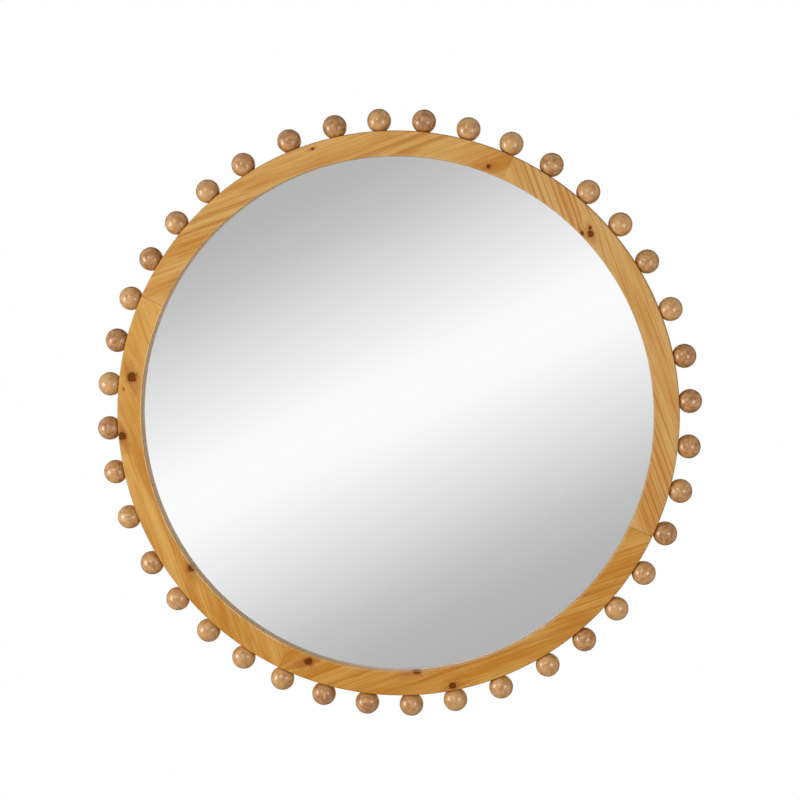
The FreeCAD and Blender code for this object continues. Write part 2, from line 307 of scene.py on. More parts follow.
def dome_material():
    """Soft diagonal bands from white to grey, as a room gives them to a mirror."""
    material, tree = new_material("dome")
    turn = math.radians(SHEEN_TURN)
    across = Vector((-math.sin(turn), 0, math.cos(turn)))
    middle = across.x * SHEEN_PLACE[0] + across.z * SHEEN_PLACE[1]
    along = vector_of(tree, "DOT_PRODUCT", object_place(tree), tuple(across))
    offset = math_of(tree, "ABSOLUTE", math_of(tree, "SUBTRACT", along, middle))
    share = math_of(tree, "PINGPONG", offset, SHEEN_HALF_PERIOD)
    share = math_of(tree, "DIVIDE", share, SHEEN_HALF_PERIOD)
    ramp = add_node(tree, "ShaderNodeValToRGB", {"Fac": share})
    elements = ramp.color_ramp.elements
    while len(elements) < len(SHEEN_STOPS):
        elements.new(0.5)
    for element, (position, tone) in zip(elements, SHEEN_STOPS):
        element.position = position
        element.color = (tone, tone, tone, 1)
    end_with(tree, glow_of(tree, ramp.outputs["Color"], 1.0))
    return material


def built_mesh(name, builder):
    """Ends a bmesh as a new mesh."""
    mesh = bpy.data.meshes.new(name)
    builder.to_mesh(mesh)
    builder.free()
    return mesh


builder = bmesh.new()
bmesh.ops.create_uvsphere(
    builder, u_segments=DOME_SEGMENTS, v_segments=DOME_RINGS, radius=DOME_RADIUS
)
behind = [vertex for vertex in builder.verts if vertex.co.y > MM]
bmesh.ops.delete(builder, geom=behind, context="VERTS")
dome = mesh_object("dome", built_mesh("dome", builder), dome_material())
print("dome of radius", DOME_RADIUS, "faces", len(dome.data.polygons))

# %% [markdown]
# A glossy ball in a white room would lose its rim. In a real studio a dark card behind draws
# a thin dark line round it, and the same is done here. The card's middle is pale, because the
# plated steel of the back would go dark without it. Only reflections see the dome and the card.

# %% The card
CARD_PLACE = 0.80
CARD_RADIUS = 1.75
CARD_CORNERS = 64
CARD_PALE_REACH = 0.45
CARD_DARK_REACH = 0.80
CARD_PALE = 0.75
CARD_DARK = 0.03


def round_axis(radius, turn, depth):
    """The place at a radius and an angle about the mirror's axis."""
    return radius * math.cos(turn), depth, radius * math.sin(turn)


def card_material():
    """Dark, with a soft pale middle."""
    material, tree = new_material("card")
    away = weighed_length(tree, object_place(tree), (1, 0, 1))
    glow = eased(tree, away, CARD_PALE_REACH, CARD_DARK_REACH, CARD_PALE, CARD_DARK)
    end_with(tree, glow_of(tree, (1, 1, 1, 1), glow))
    return material


card_mesh = bpy.data.meshes.new("card")
turns = [2 * math.pi * corner / CARD_CORNERS for corner in range(CARD_CORNERS)]
card_mesh.from_pydata(
    [round_axis(CARD_RADIUS, turn, CARD_PLACE) for turn in turns], [], [range(CARD_CORNERS)]
)
card = mesh_object("card", card_mesh, card_material())
for reflected in (dome, card):
    reflected.visible_camera = False
    reflected.visible_diffuse = False
    reflected.visible_shadow = False
    reflected.visible_transmission = False
print("card at", CARD_PLACE, "behind the wall plane")

# %% [markdown]
# Pine. A real board is a slice through a log, so its figure is a pattern in space: growth
# rings about a distant pith, which the face cuts as long lines along the grain. The grain
# of each segment is straight and runs along its chord, so the tree works on object
# coordinates, turned so that their first axis lies along the grain.

# %% Colours and noise
PINE_PALE = (0.600, 0.345, 0.110, 1)
PINE_DEEP = (0.470, 0.180, 0.012, 1)
PINE_STREAK = (0.400, 0.130, 0.012, 1)
PINE_DARK = (0.250, 0.075, 0.006, 1)
# painted highlight: the pale colour of the lit inner arris
PINE_ARRIS_HIGHLIGHT = (0.740, 0.530, 0.290, 1)
# painted shade: the darker greyish brown of the shaded inner wall
PINE_WALL_SHADE = (0.350, 0.240, 0.125, 1)
KNOT_HALO = (0.320, 0.090, 0.002, 1)
KNOT_HEART = (0.092, 0.018, 0.001, 1)


def stretched_noise(tree, place, scales, detail=3.0, roughness=0.55):
    """Noise from 0 to 1, with its number of cells to the metre along each axis."""
    squeezed = vector_of(tree, "MULTIPLY", place, scales)
    return out_of(
        tree, "ShaderNodeTexNoise",
        {"Vector": squeezed, "Scale": 1.0, "Detail": detail, "Roughness": roughness},
    )


def mixed_colour(tree, share, first, second):
    """Two colours mixed by a share."""
    made = add_node(tree, "ShaderNodeMix", {0: share, 6: first, 7: second}, data_type="RGBA")
    return made.outputs[2]


# %% [markdown]
# A knot is a branch that the trunk grew round. Near it the growth lines bend aside, and the
# wood is redder. Each knot gives three values: a push for the lines, a heart and a halo. All
# of them are distances from the knot, drawn out along the grain.

# %% Knots


def axes_of(tree, vector):
    """A vector's outputs X, Y and Z."""
    return add_node(tree, "ShaderNodeSeparateXYZ", {0: vector}).outputs


def knot_masks(tree, place, knot_place, radius, wobble):
    """How far the grain is pushed aside by one knot, then its heart and its halo."""
    offset = vector_of(tree, "SUBTRACT", place, knot_place)
    near = math_of(tree, "MULTIPLY", weighed_length(tree, offset, (0.85, 0, 1)), wobble)
    far = weighed_length(tree, offset, (0.36, 0, 1))
    bend_aside = eased(tree, far, 0.0, radius * 3.6, -0.85, 0.0)
    push = math_of(tree, "MULTIPLY", axes_of(tree, offset)["Z"], bend_aside)

    # a dark core, a paler ring and a dark outline, then the red wood round it
    heart = eased(tree, near, radius * 0.62, radius * 0.98, 1.0, 0.0)
    wave = math_of(tree, "COSINE", math_of(tree, "MULTIPLY", near, 2 * math.pi / (radius * 0.72)))
    heart = math_of(tree, "MULTIPLY", heart, math_of(tree, "MULTIPLY_ADD", wave, 0.13, 0.85))
    halo = math_of(
        tree, "MAXIMUM", eased(tree, near, radius * 0.8, radius * 1.9, 1.0, 0.0),
        eased(tree, math_of(tree, "MULTIPLY", far, wobble), radius * 0.4, radius * 2.1, 0.65, 0.0),
    )
    return push, heart, halo


def all_knots(tree, turned, knots):
    """The place across the grain as the knots bend it, then all hearts and all halos."""
    across = axes_of(tree, turned)["Z"]
    rough = stretched_noise(tree, turned, (160, 160, 160), detail=2)
    wobble = eased(tree, rough, 0.25, 0.75, 0.78, 1.22)
    heart, halo = 0.0, 0.0
    for along_place, across_place, radius in knots:
        push, one_heart, one_halo = knot_masks(
            tree, turned, (along_place, 0, across_place), radius, wobble
        )
        across = math_of(tree, "ADD", across, push)
        heart = math_of(tree, "MAXIMUM", heart, one_heart)
        halo = math_of(tree, "MAXIMUM", halo, one_halo)
    return across, heart, halo


# %% [markdown]
# Growth rings are distances from the pith. Late wood darkens slowly through each ring and
# ends sharply, so the fraction of the ring count is shaped like a saw tooth. Noise varies the
# spacing, and a second noise fades whole stretches, because real boards are never evenly lined.

# %% Growth rings
RING_SPACING = 0.0047
RING_SWAY = 0.018
RING_UNEVENNESS = 3.4


def saw_tooth(tree, count, rise, fall):
    """Each whole count eased up between two fractions, and sharply down at its end."""
    phase = math_of(tree, "FRACT", count)
    return math_of(tree, "MULTIPLY", eased(tree, phase, *rise), eased(tree, phase, fall, 1.0, 1.0, 0.0))


def late_wood(tree, board, pith):
    """How dark the late wood is, from 0 to 1."""
    sway = stretched_noise(tree, board, (2.6, 10, 10), detail=2)
    spoke = weighed_length(tree, vector_of(tree, "SUBTRACT", board, (0.0, *pith)), (0, 1, 1))
    distance = math_of(tree, "MULTIPLY_ADD", sway, RING_SWAY, spoke)
    count = math_of(tree, "DIVIDE", distance, RING_SPACING)
    uneven = stretched_noise(tree, board, (1.3, 62, 62), detail=2)
    count = math_of(tree, "MULTIPLY_ADD", uneven, RING_UNEVENNESS, count)
    tooth = saw_tooth(tree, count, (0.30, 0.90), 0.91)
    stretch = stretched_noise(tree, board, (4.2, 34, 34), detail=2)
    return math_of(tree, "MULTIPLY", tooth, eased(tree, stretch, 0.40, 0.66, 0.12, 1.0))


# %% [markdown]
# The edges differ from the face. The inner wall is darkened with painted shade, and beside it
# a pale line along the arris is a painted highlight. Along the front's outer edge the colour
# turns a darker brown. These masks are distances from the mirror's axis, so they follow the ring.

# %% Edges
# how far every edge of the face is rounded, and how much more at the front
FACE_EDGE = 0.2 * MM
FACE_ARRIS = 1.5 * MM
# how far the inner wall's painted shade reaches, and how strong it is
WALL_SHADE_REACH = 0.9 * MM
WALL_SHADE_SHARE = 0.88
# a painted highlight: a pale line along the inner arris, where it catches the light
HIGHLIGHT_PLACE = 1.9 * MM
HIGHLIGHT_HALF = 0.9 * MM
OUTER_REACH = 1.5 * MM
OUTER_SHARE = 0.62
RIM_SHARE = 0.12


def edge_coloured(tree, place, colour, arris_highlight_share):
    """A colour with painted shade on the inner wall, a painted highlight on the arris and a darker outer
    line.
    """
    radius = weighed_length(tree, place, (1, 0, 1))
    inset = math_of(tree, "SUBTRACT", radius, SIGHT_RADIUS)
    off_line = math_of(tree, "ABSOLUTE", math_of(tree, "SUBTRACT", inset, HIGHLIGHT_PLACE))
    # the painted highlight on the inner arris, broken up by noise
    pale = eased(tree, off_line, HIGHLIGHT_HALF * 0.2, HIGHLIGHT_HALF, arris_highlight_share, 0.0)
    highlight_breakup = eased(tree, stretched_noise(tree, place, (45, 45, 45), detail=3), 0.3, 0.6, 0.45, 1.0)
    colour = mixed_colour(tree, math_of(tree, "MULTIPLY", pale, highlight_breakup), colour, PINE_ARRIS_HIGHLIGHT)
    # painted shade on the inner wall
    darker = eased(tree, inset, WALL_SHADE_REACH * 0.5, WALL_SHADE_REACH * 1.2, WALL_SHADE_SHARE, 0.0)
    colour = mixed_colour(tree, darker, colour, PINE_WALL_SHADE)
    # a darker brown along the front's outer edge, and faintly over the rest of the rim
    outer = eased(tree, radius, RIM_RADIUS - OUTER_REACH, RIM_RADIUS - OUTER_REACH * 0.2)
    front = eased(
        tree, axes_of(tree, place)["Y"], FACE_FRONT + FACE_ARRIS * 0.8, FACE_FRONT + FACE_ARRIS * 1.6,
        OUTER_SHARE, RIM_SHARE,
    )
    return mixed_colour(tree, math_of(tree, "MULTIPLY", outer, front), colour, PINE_DARK)


# %% [markdown]
# The pine itself lays these over each other: warm patches, late wood, veins and fibres set
# how deep the colour is, then come single streaks, hairlines, knots and edges. The varnish is
# satin, with a little relief from the grain, and less shine on a knot.

# %% The pine itself


def grain_depth(tree, board, late, lined, drift):
    """How deep the colour is, from 0 to 1, then its patches and its fibres along the grain."""
    patch = stretched_noise(tree, board, (6.5, 44, 44), detail=3)
    vein = stretched_noise(tree, board, (13, 330, 330), detail=3, roughness=0.6)
    fibre = stretched_noise(tree, board, (30, 800, 800), detail=4, roughness=0.7)
    deep = math_of(tree, "ADD", drift, eased(tree, patch, 0.32, 0.70, -0.26, 0.56))
    deep = math_of(tree, "MULTIPLY_ADD", late, lined, deep)
    deep = math_of(tree, "ADD", deep, eased(tree, vein, 0.35, 0.68, -0.15, 0.25))
    deep = math_of(tree, "MULTIPLY_ADD", math_of(tree, "SUBTRACT", fibre, 0.5), 0.70, deep, clamp=True)
    return deep, patch, fibre


def streaked(tree, colour, board, across, patch, streaks):
    """A colour with single strong streaks and short dark hairlines."""
    for across_place, half_width, strength in streaks:
        away = math_of(tree, "ABSOLUTE", math_of(tree, "SUBTRACT", across, across_place))
        away = math_of(tree, "MULTIPLY_ADD", patch, half_width * 0.8, away)
        streak = eased(tree, away, half_width * 0.7, half_width * 1.4, strength, 0.0)
        colour = mixed_colour(tree, streak, colour, PINE_STREAK)
    hair = stretched_noise(tree, board, (34, 560, 560), detail=2)
    return mixed_colour(tree, eased(tree, hair, 0.64, 0.76, 0.0, 0.42), colour, PINE_DARK)


def bump_of(tree, strength, distance, height):
    """A normal that a height tilts."""
    return out_of(tree, "ShaderNodeBump", {"Strength": strength, "Distance": distance, "Height": height})


def end_with_principled(tree, inputs):
    """Ends a material with one Principled surface."""
    end_with(tree, out_of(tree, "ShaderNodeBsdfPrincipled", inputs))


def pine_material(
    name, grain_turn, board_offset, pith, tone_and_shade,
    pale=PINE_PALE, lined=0.5, knots=(), streaks=(), arris_highlight_share=0.3,
):
    """Varnished pine whose grain runs at an angle in the mirror's plane.

    Knots are (place along, place across, radius) and streaks are (place across, half width,
    strength), all along or across the grain and in metres. The value tone_and_shade is a level and
    a slope along the grain that deepen the colour: the board's own tone, and on the face partly
    painted shade, most on the bottom board. Lined is how strongly the growth rings show."""
    material, tree = new_material(name)
    place = object_place(tree)
    turned = out_of(tree, "ShaderNodeMapping", {"Vector": place, "Rotation": (0, grain_turn, 0)})
    across, heart, halo = all_knots(tree, turned, knots)
    parts = axes_of(tree, turned)
    board = out_of(tree, "ShaderNodeCombineXYZ", {"X": parts["X"], "Y": parts["Y"], "Z": across})
    board = vector_of(tree, "ADD", board, board_offset)

    late = late_wood(tree, board, pith)
    # the board's tone along the grain; on the face boards it is partly painted shade
    drift = math_of(tree, "MULTIPLY_ADD", parts["X"], tone_and_shade[1], tone_and_shade[0])
    deep, patch, fibre = grain_depth(tree, board, late, lined, drift)
    colour = mixed_colour(tree, deep, pale, PINE_DEEP)
    colour = streaked(tree, colour, board, across, patch, streaks)
    if knots:
        colour = mixed_colour(tree, math_of(tree, "MULTIPLY", halo, 0.85), colour, KNOT_HALO)
        colour = mixed_colour(tree, heart, colour, KNOT_HEART)
    colour = edge_coloured(tree, place, colour, arris_highlight_share)

    relief = math_of(tree, "MULTIPLY_ADD", late, 0.35, math_of(tree, "MULTIPLY", fibre, 0.6))
    end_with_principled(tree, {
        "Base Color": colour, "Roughness": eased(tree, fibre, 0.2, 0.8, 0.36, 0.52),
        "Normal": bump_of(tree, 0.18, 0.4 * MM, relief),
        "Specular IOR Level": math_of(tree, "MULTIPLY_ADD", heart, -0.26, 0.28),
    })
    return material


# %% [markdown]
# Pieces that repeat or follow a rule are grown by Geometry Nodes trees. Each tree has named
# inputs for its sizes and is run on a small mesh. What it gives is turned into a plain mesh at
# once, because a finished piece has to stand without its modifier.

# %% Trees and plain meshes


def tree_with_inputs(name, **titles_of_kinds):
    """An empty Geometry Nodes tree with named inputs, and its two ends."""
    tree = bpy.data.node_groups.new(name, "GeometryNodeTree")
    tree.is_modifier = True
    for end in ("INPUT", "OUTPUT"):
        tree.interface.new_socket("Geometry", in_out=end, socket_type="NodeSocketGeometry")
    for kind, titles in titles_of_kinds.items():
        for title in titles:
            tree.interface.new_socket(title, in_out="INPUT", socket_type=f"NodeSocket{kind}")
    given = tree.nodes.new("NodeGroupInput").outputs
    result = tree.nodes.new("NodeGroupOutput").inputs["Geometry"]
    return tree, given, result


def end_tree(tree, geometry, given, result):
    """Gives the geometry its material and sends it out of the tree."""
    finished = out_of(
        tree, "GeometryNodeSetMaterial", {"Geometry": geometry, "Material": given["Material"]}
    )
    tree.links.new(finished, result)
    return tree


def plain_mesh(holder):
    """The mesh that an object's modifiers or its curve give. The object itself goes."""
    depsgraph = bpy.context.evaluated_depsgraph_get()
    mesh = bpy.data.meshes.new_from_object(
        holder.evaluated_get(depsgraph), preserve_all_data_layers=True, depsgraph=depsgraph
    )
    bpy.data.objects.remove(holder)
    return mesh


def grown(name, tree, settings, seed_mesh=None):
    """Runs a tree on a mesh and returns the result as a plain object."""
    holder = mesh_object("seed", seed_mesh or bpy.data.meshes.new("seed"))
    modifier = holder.modifiers.new(tree.name, "NODES")
    modifier.node_group = tree
    sockets = {item.name: item for item in tree.interface.items_tree if item.in_out == "INPUT"}
    for title, setting in settings.items():
        modifier[sockets[title].identifier] = setting
    mesh = plain_mesh(holder)
    mesh.name = name
    return mesh_object(name, mesh)


def smoothed(piece, sharp_angle=35.0):
    """Smooth shading that keeps the edges sharper than an angle."""
    piece.data.shade_smooth()
    piece.data.set_sharp_from_angle(angle=math.radians(sharp_angle))
    return piece


# %% [markdown]
# Each segment is one section swept round a quarter of the ring. That is a rule, so a
# Geometry Nodes tree makes it: a rectangle with rounded arrises, cut finely along its long
# sides, is carried round an arc. Its surface is then made slightly uneven, as sanding
# leaves it, and one place on the inner arris can be chipped where a knot broke out.

# %% The tree that grows a ring segment
FILLET_POINTS = 3
SANDING_CELLS = (38, 38, 38)
CHIP_DEPTH = 0.42


def halfway(tree, first, second):
    """The middle of two values."""
    return math_of(tree, "MULTIPLY", math_of(tree, "ADD", first, second), 0.5)


def segment_section(tree, given):
    """The segment's section: width across the ring, and height from its front to its back."""
    section = out_of(tree, "GeometryNodeCurvePrimitiveQuadrilateral", {
        "Width": math_of(tree, "SUBTRACT", given["Outer Radius"], given["Inner Radius"]),
        "Height": math_of(tree, "SUBTRACT", given["Back"], given["Front"]),
    })

    # every edge is rounded a little, and the front ones more
    position = out_of(tree, "GeometryNodeInputPosition")
    at_front = math_of(tree, "LESS_THAN", axes_of(tree, position)["Y"], 0.0)
    rounding = math_of(tree, "MULTIPLY_ADD", at_front, given["Arris"], given["Edge"])
    section = out_of(
        tree, "GeometryNodeFilletCurve",
        {"Curve": section, "Radius": rounding, "Count": FILLET_POINTS}, mode="POLY",
    )

    # cuts between neighbours that lie further apart than the spacing
    index = out_of(tree, "GeometryNodeInputIndex")
    count = out_of(tree, "GeometryNodeAttributeDomainSize", {0: section}, component="CURVE")
    following = math_of(tree, "MODULO", math_of(tree, "ADD", index, 1.0), count)
    neighbour = out_of(
        tree, "GeometryNodeFieldAtIndex", {"Index": following, "Value": position},
        data_type="FLOAT_VECTOR", domain="POINT",
    )
    gap = vector_of(tree, "LENGTH", vector_of(tree, "SUBTRACT", neighbour, position))
    cuts = math_of(tree, "FLOOR", math_of(tree, "DIVIDE", gap, given["Spacing"]))
    section = out_of(tree, "GeometryNodeSubdivideCurve", {"Curve": section, "Cuts": cuts})
    lift = out_of(tree, "ShaderNodeCombineXYZ", {"Y": halfway(tree, given["Front"], given["Back"])})
    return out_of(tree, "GeometryNodeTransform", {"Geometry": section, "Translation": lift})


def swept_round(tree, given, section):
    """The section carried round an arc, which then stands upright about the mirror's axis."""
    path = out_of(
        tree, "GeometryNodeCurveArc",
        {"Resolution": given["Steps"], "Start Angle": given["Start"], "Sweep Angle": given["Sweep"],
         "Radius": halfway(tree, given["Inner Radius"], given["Outer Radius"])},
        mode="RADIUS",
    )
    path = out_of(tree, "GeometryNodeSetCurveNormal", {"Curve": path}, mode="Z_UP")
    swept = out_of(
        tree, "GeometryNodeCurveToMesh", {"Curve": path, "Profile Curve": section, "Fill Caps": True}
    )
    return out_of(tree, "GeometryNodeTransform", {"Geometry": swept, "Rotation": (math.pi / 2, 0, 0)})


def worn(tree, given, solid):
    """Sanding marks along the surface's own normal, then a chip, outwards from the axis."""
    position = out_of(tree, "GeometryNodeInputPosition")
    noise = stretched_noise(tree, position, SANDING_CELLS, detail=2.0, roughness=0.5)
    swell = math_of(tree, "MULTIPLY", math_of(tree, "SUBTRACT", noise, 1.0), given["Unevenness"])
    sanding = vector_of(tree, "MULTIPLY", out_of(tree, "GeometryNodeInputNormal"), swell)
    sanded = out_of(tree, "GeometryNodeSetPosition", {"Geometry": solid, "Offset": sanding})

    away = vector_of(tree, "LENGTH", vector_of(tree, "SUBTRACT", position, given["Chip Place"]))
    reach = eased(tree, away, 0.0, given["Chip Size"], 1.0, 0.0, "SMOOTHERSTEP")
    bite = math_of(tree, "MULTIPLY", math_of(tree, "MULTIPLY", reach, given["Chip Size"]), CHIP_DEPTH)
    outward = vector_of(tree, "NORMALIZE", vector_of(tree, "MULTIPLY", position, (1, 0, 1)))
    chip = vector_of(tree, "MULTIPLY", outward, bite)
    return out_of(tree, "GeometryNodeSetPosition", {"Geometry": sanded, "Offset": chip})


def ring_segment_tree():
    """The tree that sweeps a rounded rectangle round an arc of the ring."""
    tree, given, result = tree_with_inputs(
        "ring_segment",
        Float=("Inner Radius", "Outer Radius", "Front", "Back", "Edge", "Arris", "Start", "Sweep",
               "Spacing", "Unevenness", "Chip Size"),
        Int=("Steps",), Vector=("Chip Place",), Material=("Material",),
    )
    solid = worn(tree, given, swept_round(tree, given, segment_section(tree, given)))
    plain = out_of(tree, "GeometryNodeRealizeInstances", {"Geometry": solid})
    return end_tree(tree, plain, given, result)


segment_tree = ring_segment_tree()
print("ring segment tree has", len(segment_tree.nodes), "nodes")

# %% [markdown]
# The four face segments are four different boards, so each has values of its own. Two of
# their radial joints are a touch open and read as dark lines, and the other two show only as
# a change of grain. Knots and streaks are placed as the photograph shows them.

# %% The boards of the face
TIGHT = 0.03 * MM
OPEN = 0.16 * MM
# how far apart the boards were sawn from the log, along the grain and across it
FACE_BOARD_STEP = (1.7, 0.31, 0.83)
# Gaps: at a segment's start and end. Knots: an angle in degrees, a share of the width from the
# inner edge and a radius in millimetres. Streaks: a place across the grain, measured from the
# ring's middle, and a half width, both in millimetres, then a strength.
# arris_highlight_share is how strong the painted highlight on the inner arris is, most on the left board
FACE_BOARDS = {
    "top": dict(
        gaps=(TIGHT, OPEN), pith=(0.06, 0.55), tone_and_shade=(0.17, 0.55), lined=0.50, arris_highlight_share=0.30,
        pale=(0.620, 0.350, 0.096, 1),
        knots=((107.2, 0.77, 2.0), (69.2, 0.27, 2.8)),
        streaks=((334.6, 3.2, 0.55), (337.0, 0.8, 0.80), (322.6, 2.6, 0.55), (324.2, 0.8, 0.80),
                 (309.0, 0.9, 0.45), (287.0, 0.9, 0.45), (270.0, 2.4, 0.45), (345.0, 0.8, 0.30)),
    ),
    "left": dict(
        gaps=(OPEN, TIGHT), pith=(0.05, 0.48), tone_and_shade=(0.20, -1.10), lined=0.26, arris_highlight_share=0.85,
        pale=(0.625, 0.350, 0.082, 1),
        knots=((172.3, 0.48, 6.4), (175.0, 0.77, 1.2), (184.9, 0.85, 6.0), (217.1, 0.12, 5.4)),
        streaks=((347.0, 3.0, 0.22), (338.0, 1.4, 0.22), (300.0, 2.4, 0.20), (318.0, 1.2, 0.15)),
    ),
    "bottom": dict(
        # the bottom board's deeper tone_and_shade level is partly painted shade
        gaps=(TIGHT, OPEN), pith=(0.07, 0.60), tone_and_shade=(0.43, 0.10), lined=0.52, arris_highlight_share=0.35,
        pale=(0.600, 0.325, 0.070, 1),
        knots=((250.7, 0.30, 5.6), (275.0, 0.02, 6.0), (282.3, 0.80, 4.6)),
        streaks=((330.0, 2.5, 0.50), (345.0, 3.6, 0.45), (310.0, 3.0, 0.50), (292.0, 1.8, 0.45),
                 (272.0, 2.6, 0.45)),
    ),
    "right": dict(
        gaps=(OPEN, TIGHT), pith=(0.05, 0.52), tone_and_shade=(0.0, 0.10), lined=0.58, arris_highlight_share=0.15,
        pale=(0.605, 0.350, 0.112, 1),
        knots=((42.9, 0.32, 4.2), (43.9, 0.45, 2.4), (44.3, 0.10, 2.4)),
        streaks=((276.0, 1.8, 0.75), (284.0, 2.2, 0.65), (292.0, 1.2, 0.60), (264.0, 1.3, 0.60),
                 (301.0, 1.8, 0.60), (309.0, 3.0, 0.62), (316.5, 1.8, 0.70), (322.5, 1.2, 0.60),
                 (333.0, 1.4, 0.50), (344.0, 0.8, 0.35), (352.0, 0.7, 0.35)),
    ),
}


def along_and_across(angle, share, grain_turn):
    """A place on the face, along and across the grain."""
    radius = SIGHT_RADIUS + share * (RIM_RADIUS - SIGHT_RADIUS)
    turn = math.radians(angle) - grain_turn
    return radius * math.cos(turn), radius * math.sin(turn)


def face_pine(side, number, grain_turn):
    """The pine of one face segment, with the knots and streaks of its board."""
    board = FACE_BOARDS[side]
    knots = [
        (*along_and_across(angle, share, grain_turn), radius * MM)
        for angle, share, radius in board["knots"]
    ]
    streaks = [(place * MM, half * MM, strength) for place, half, strength in board["streaks"]]
    return pine_material(
        f"face_pine_{side}", grain_turn, [number * step for step in FACE_BOARD_STEP], board["pith"],
        board["tone_and_shade"], board["pale"], board["lined"], knots, streaks, board["arris_highlight_share"],
    )


print("knots", {side: len(board["knots"]) for side, board in FACE_BOARDS.items()})

# %% [markdown]
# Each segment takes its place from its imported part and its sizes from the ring. Only the
# bottom one is chipped, at the knot that lies on its inner edge.

# %% The face segments
SIDES = ("top", "left", "bottom", "right")
STEPS = 150
SPACING = 2.2 * MM
UNEVENNESS = 0.10 * MM
CHIP_TURN = math.radians(275.0)
CHIP_SIZE = 5.0 * MM
NO_CHIP = ((0, 0, 0), 0.0)
CHIPS = {"bottom": (round_axis(SIGHT_RADIUS, CHIP_TURN, FACE_FRONT), CHIP_SIZE)}


def chord_turn(node):
    """The angle of a segment's chord, along which its grain runs."""
    start, end = ring_span(node)
    return (start + end) / 2 - math.pi / 2


def segment_piece(name, node, material, limits, edge, arris, gaps, chip=NO_CHIP):
    """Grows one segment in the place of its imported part."""
    inner, outer, front, back = limits
    start, end = ring_span(node)
    start += gaps[0] / outer
    end -= gaps[1] / outer
    piece = smoothed(grown(name, segment_tree, {
        "Inner Radius": inner, "Outer Radius": outer, "Front": front, "Back": back,
        "Edge": edge, "Arris": arris, "Start": start, "Sweep": end - start, "Steps": STEPS,
        "Spacing": SPACING, "Unevenness": UNEVENNESS, "Chip Place": chip[0], "Chip Size": chip[1],
        "Material": material,
    }))
    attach(piece, "mirror")
    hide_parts(node)
    print(name, "faces", len(piece.data.polygons))
    return piece


for number, side in enumerate(SIDES):
    node = f"face_segment_{side}"
    piece = segment_piece(
        f"pine_face_{side}", node, face_pine(side, number, chord_turn(node)),
        (SIGHT_RADIUS, RIM_RADIUS, FACE_FRONT, FACE_BACK), FACE_EDGE, FACE_ARRIS,
        FACE_BOARDS[side]["gaps"], CHIPS.get(side, NO_CHIP),
    )

# %% [markdown]
# The rear segments come from the same tree and the same pine, without knots. All their edges
# are eased by about a millimetre, so a fine groove shows on the rim where the layers meet.

# %% The rear segments
REAR_EDGE = 0.9 * MM
REAR_ARRIS = 0.2 * MM
REAR_GAP = 0.08 * MM
REAR_PITH = (0.12, 0.45)
REAR_WARMTH = (0.18, 0.0)

for number, side in enumerate(SIDES):
    node = f"rear_segment_{side}"
    board_offset = (number * 2.3 + 5, number * 0.47, number * 0.61)
    material = pine_material(
        f"rear_pine_{side}", chord_turn(node), board_offset, REAR_PITH, REAR_WARMTH
    )
    piece = segment_piece(
        f"pine_rear_{side}", node, material, (REBATE_RADIUS, RIM_RADIUS, REAR_FRONT, REAR_BACK),
        REAR_EDGE, REAR_ARRIS, (REAR_GAP, REAR_GAP),
    )

# %% [markdown]
# The balls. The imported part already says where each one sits, so its points are read and a
# tree puts a turned ball on each, flat side to the rim. A real wooden ball is sawn from its
# own bit of wood, so every copy stores its own turn of the grain and its own tone, and the
# varnished wood below reads both.

# %% The tree that grows the balls
BALL_SEGMENTS = 48
BALL_RINGS = 24
GRAIN_SHIFT = (0.6, 0.6, 0.6)


def stored(tree, geometry, title, value, kind="FLOAT_VECTOR"):
    """Geometry that keeps a value at each of its points."""
    return out_of(
        tree, "GeometryNodeStoreNamedAttribute",
        {"Geometry": geometry, "Name": title, "Value": value}, data_type=kind, domain="POINT",
    )


def recalled(tree, title, kind="FLOAT_VECTOR"):
    """A value that was kept under a title."""
    return out_of(tree, "GeometryNodeInputNamedAttribute", {"Name": title}, data_type=kind)


def on_points(tree, points, shape, rotation):
    """One shape on each point, turned and made plain geometry."""
    placed = out_of(
        tree, "GeometryNodeInstanceOnPoints", {"Points": points, "Instance": shape, "Rotation": rotation}
    )
    return out_of(tree, "GeometryNodeRealizeInstances", {"Geometry": placed})


def seated_ball(tree, given, position):
    """A ball about the origin, flattened below at its seat."""
    sphere = out_of(
        tree, "GeometryNodeMeshUVSphere",
        {"Segments": BALL_SEGMENTS, "Rings": BALL_RINGS, "Radius": given["Radius"]},
    )
    parts = axes_of(tree, position)
    height = math_of(tree, "MAXIMUM", parts["Z"], math_of(tree, "MULTIPLY", given["Seat"], -1.0))
    seated = out_of(tree, "ShaderNodeCombineXYZ", {"X": parts["X"], "Y": parts["Y"], "Z": height})
    return out_of(tree, "GeometryNodeSetPosition", {"Geometry": sphere, "Position": seated})


def ball_seats(tree, given, position):
    """The points, each with its place, a turn of the grain and a tone."""
    index = out_of(tree, "GeometryNodeInputIndex")
    spin = out_of(
        tree, "FunctionNodeRandomValue",
        {"Min": (-math.pi,) * 3, "Max": (math.pi,) * 3, "ID": index, "Seed": given["Seed"]},
        data_type="FLOAT_VECTOR",
    )
    tone = add_node(
        tree, "FunctionNodeRandomValue", {"ID": index, "Seed": math_of(tree, "ADD", given["Seed"], 7)},
        data_type="FLOAT",
    ).outputs[1]
    points = stored(tree, given["Geometry"], "ball_centre", position)
    points = stored(tree, points, "ball_spin", spin)
    return stored(tree, points, "ball_tone", tone, "FLOAT")


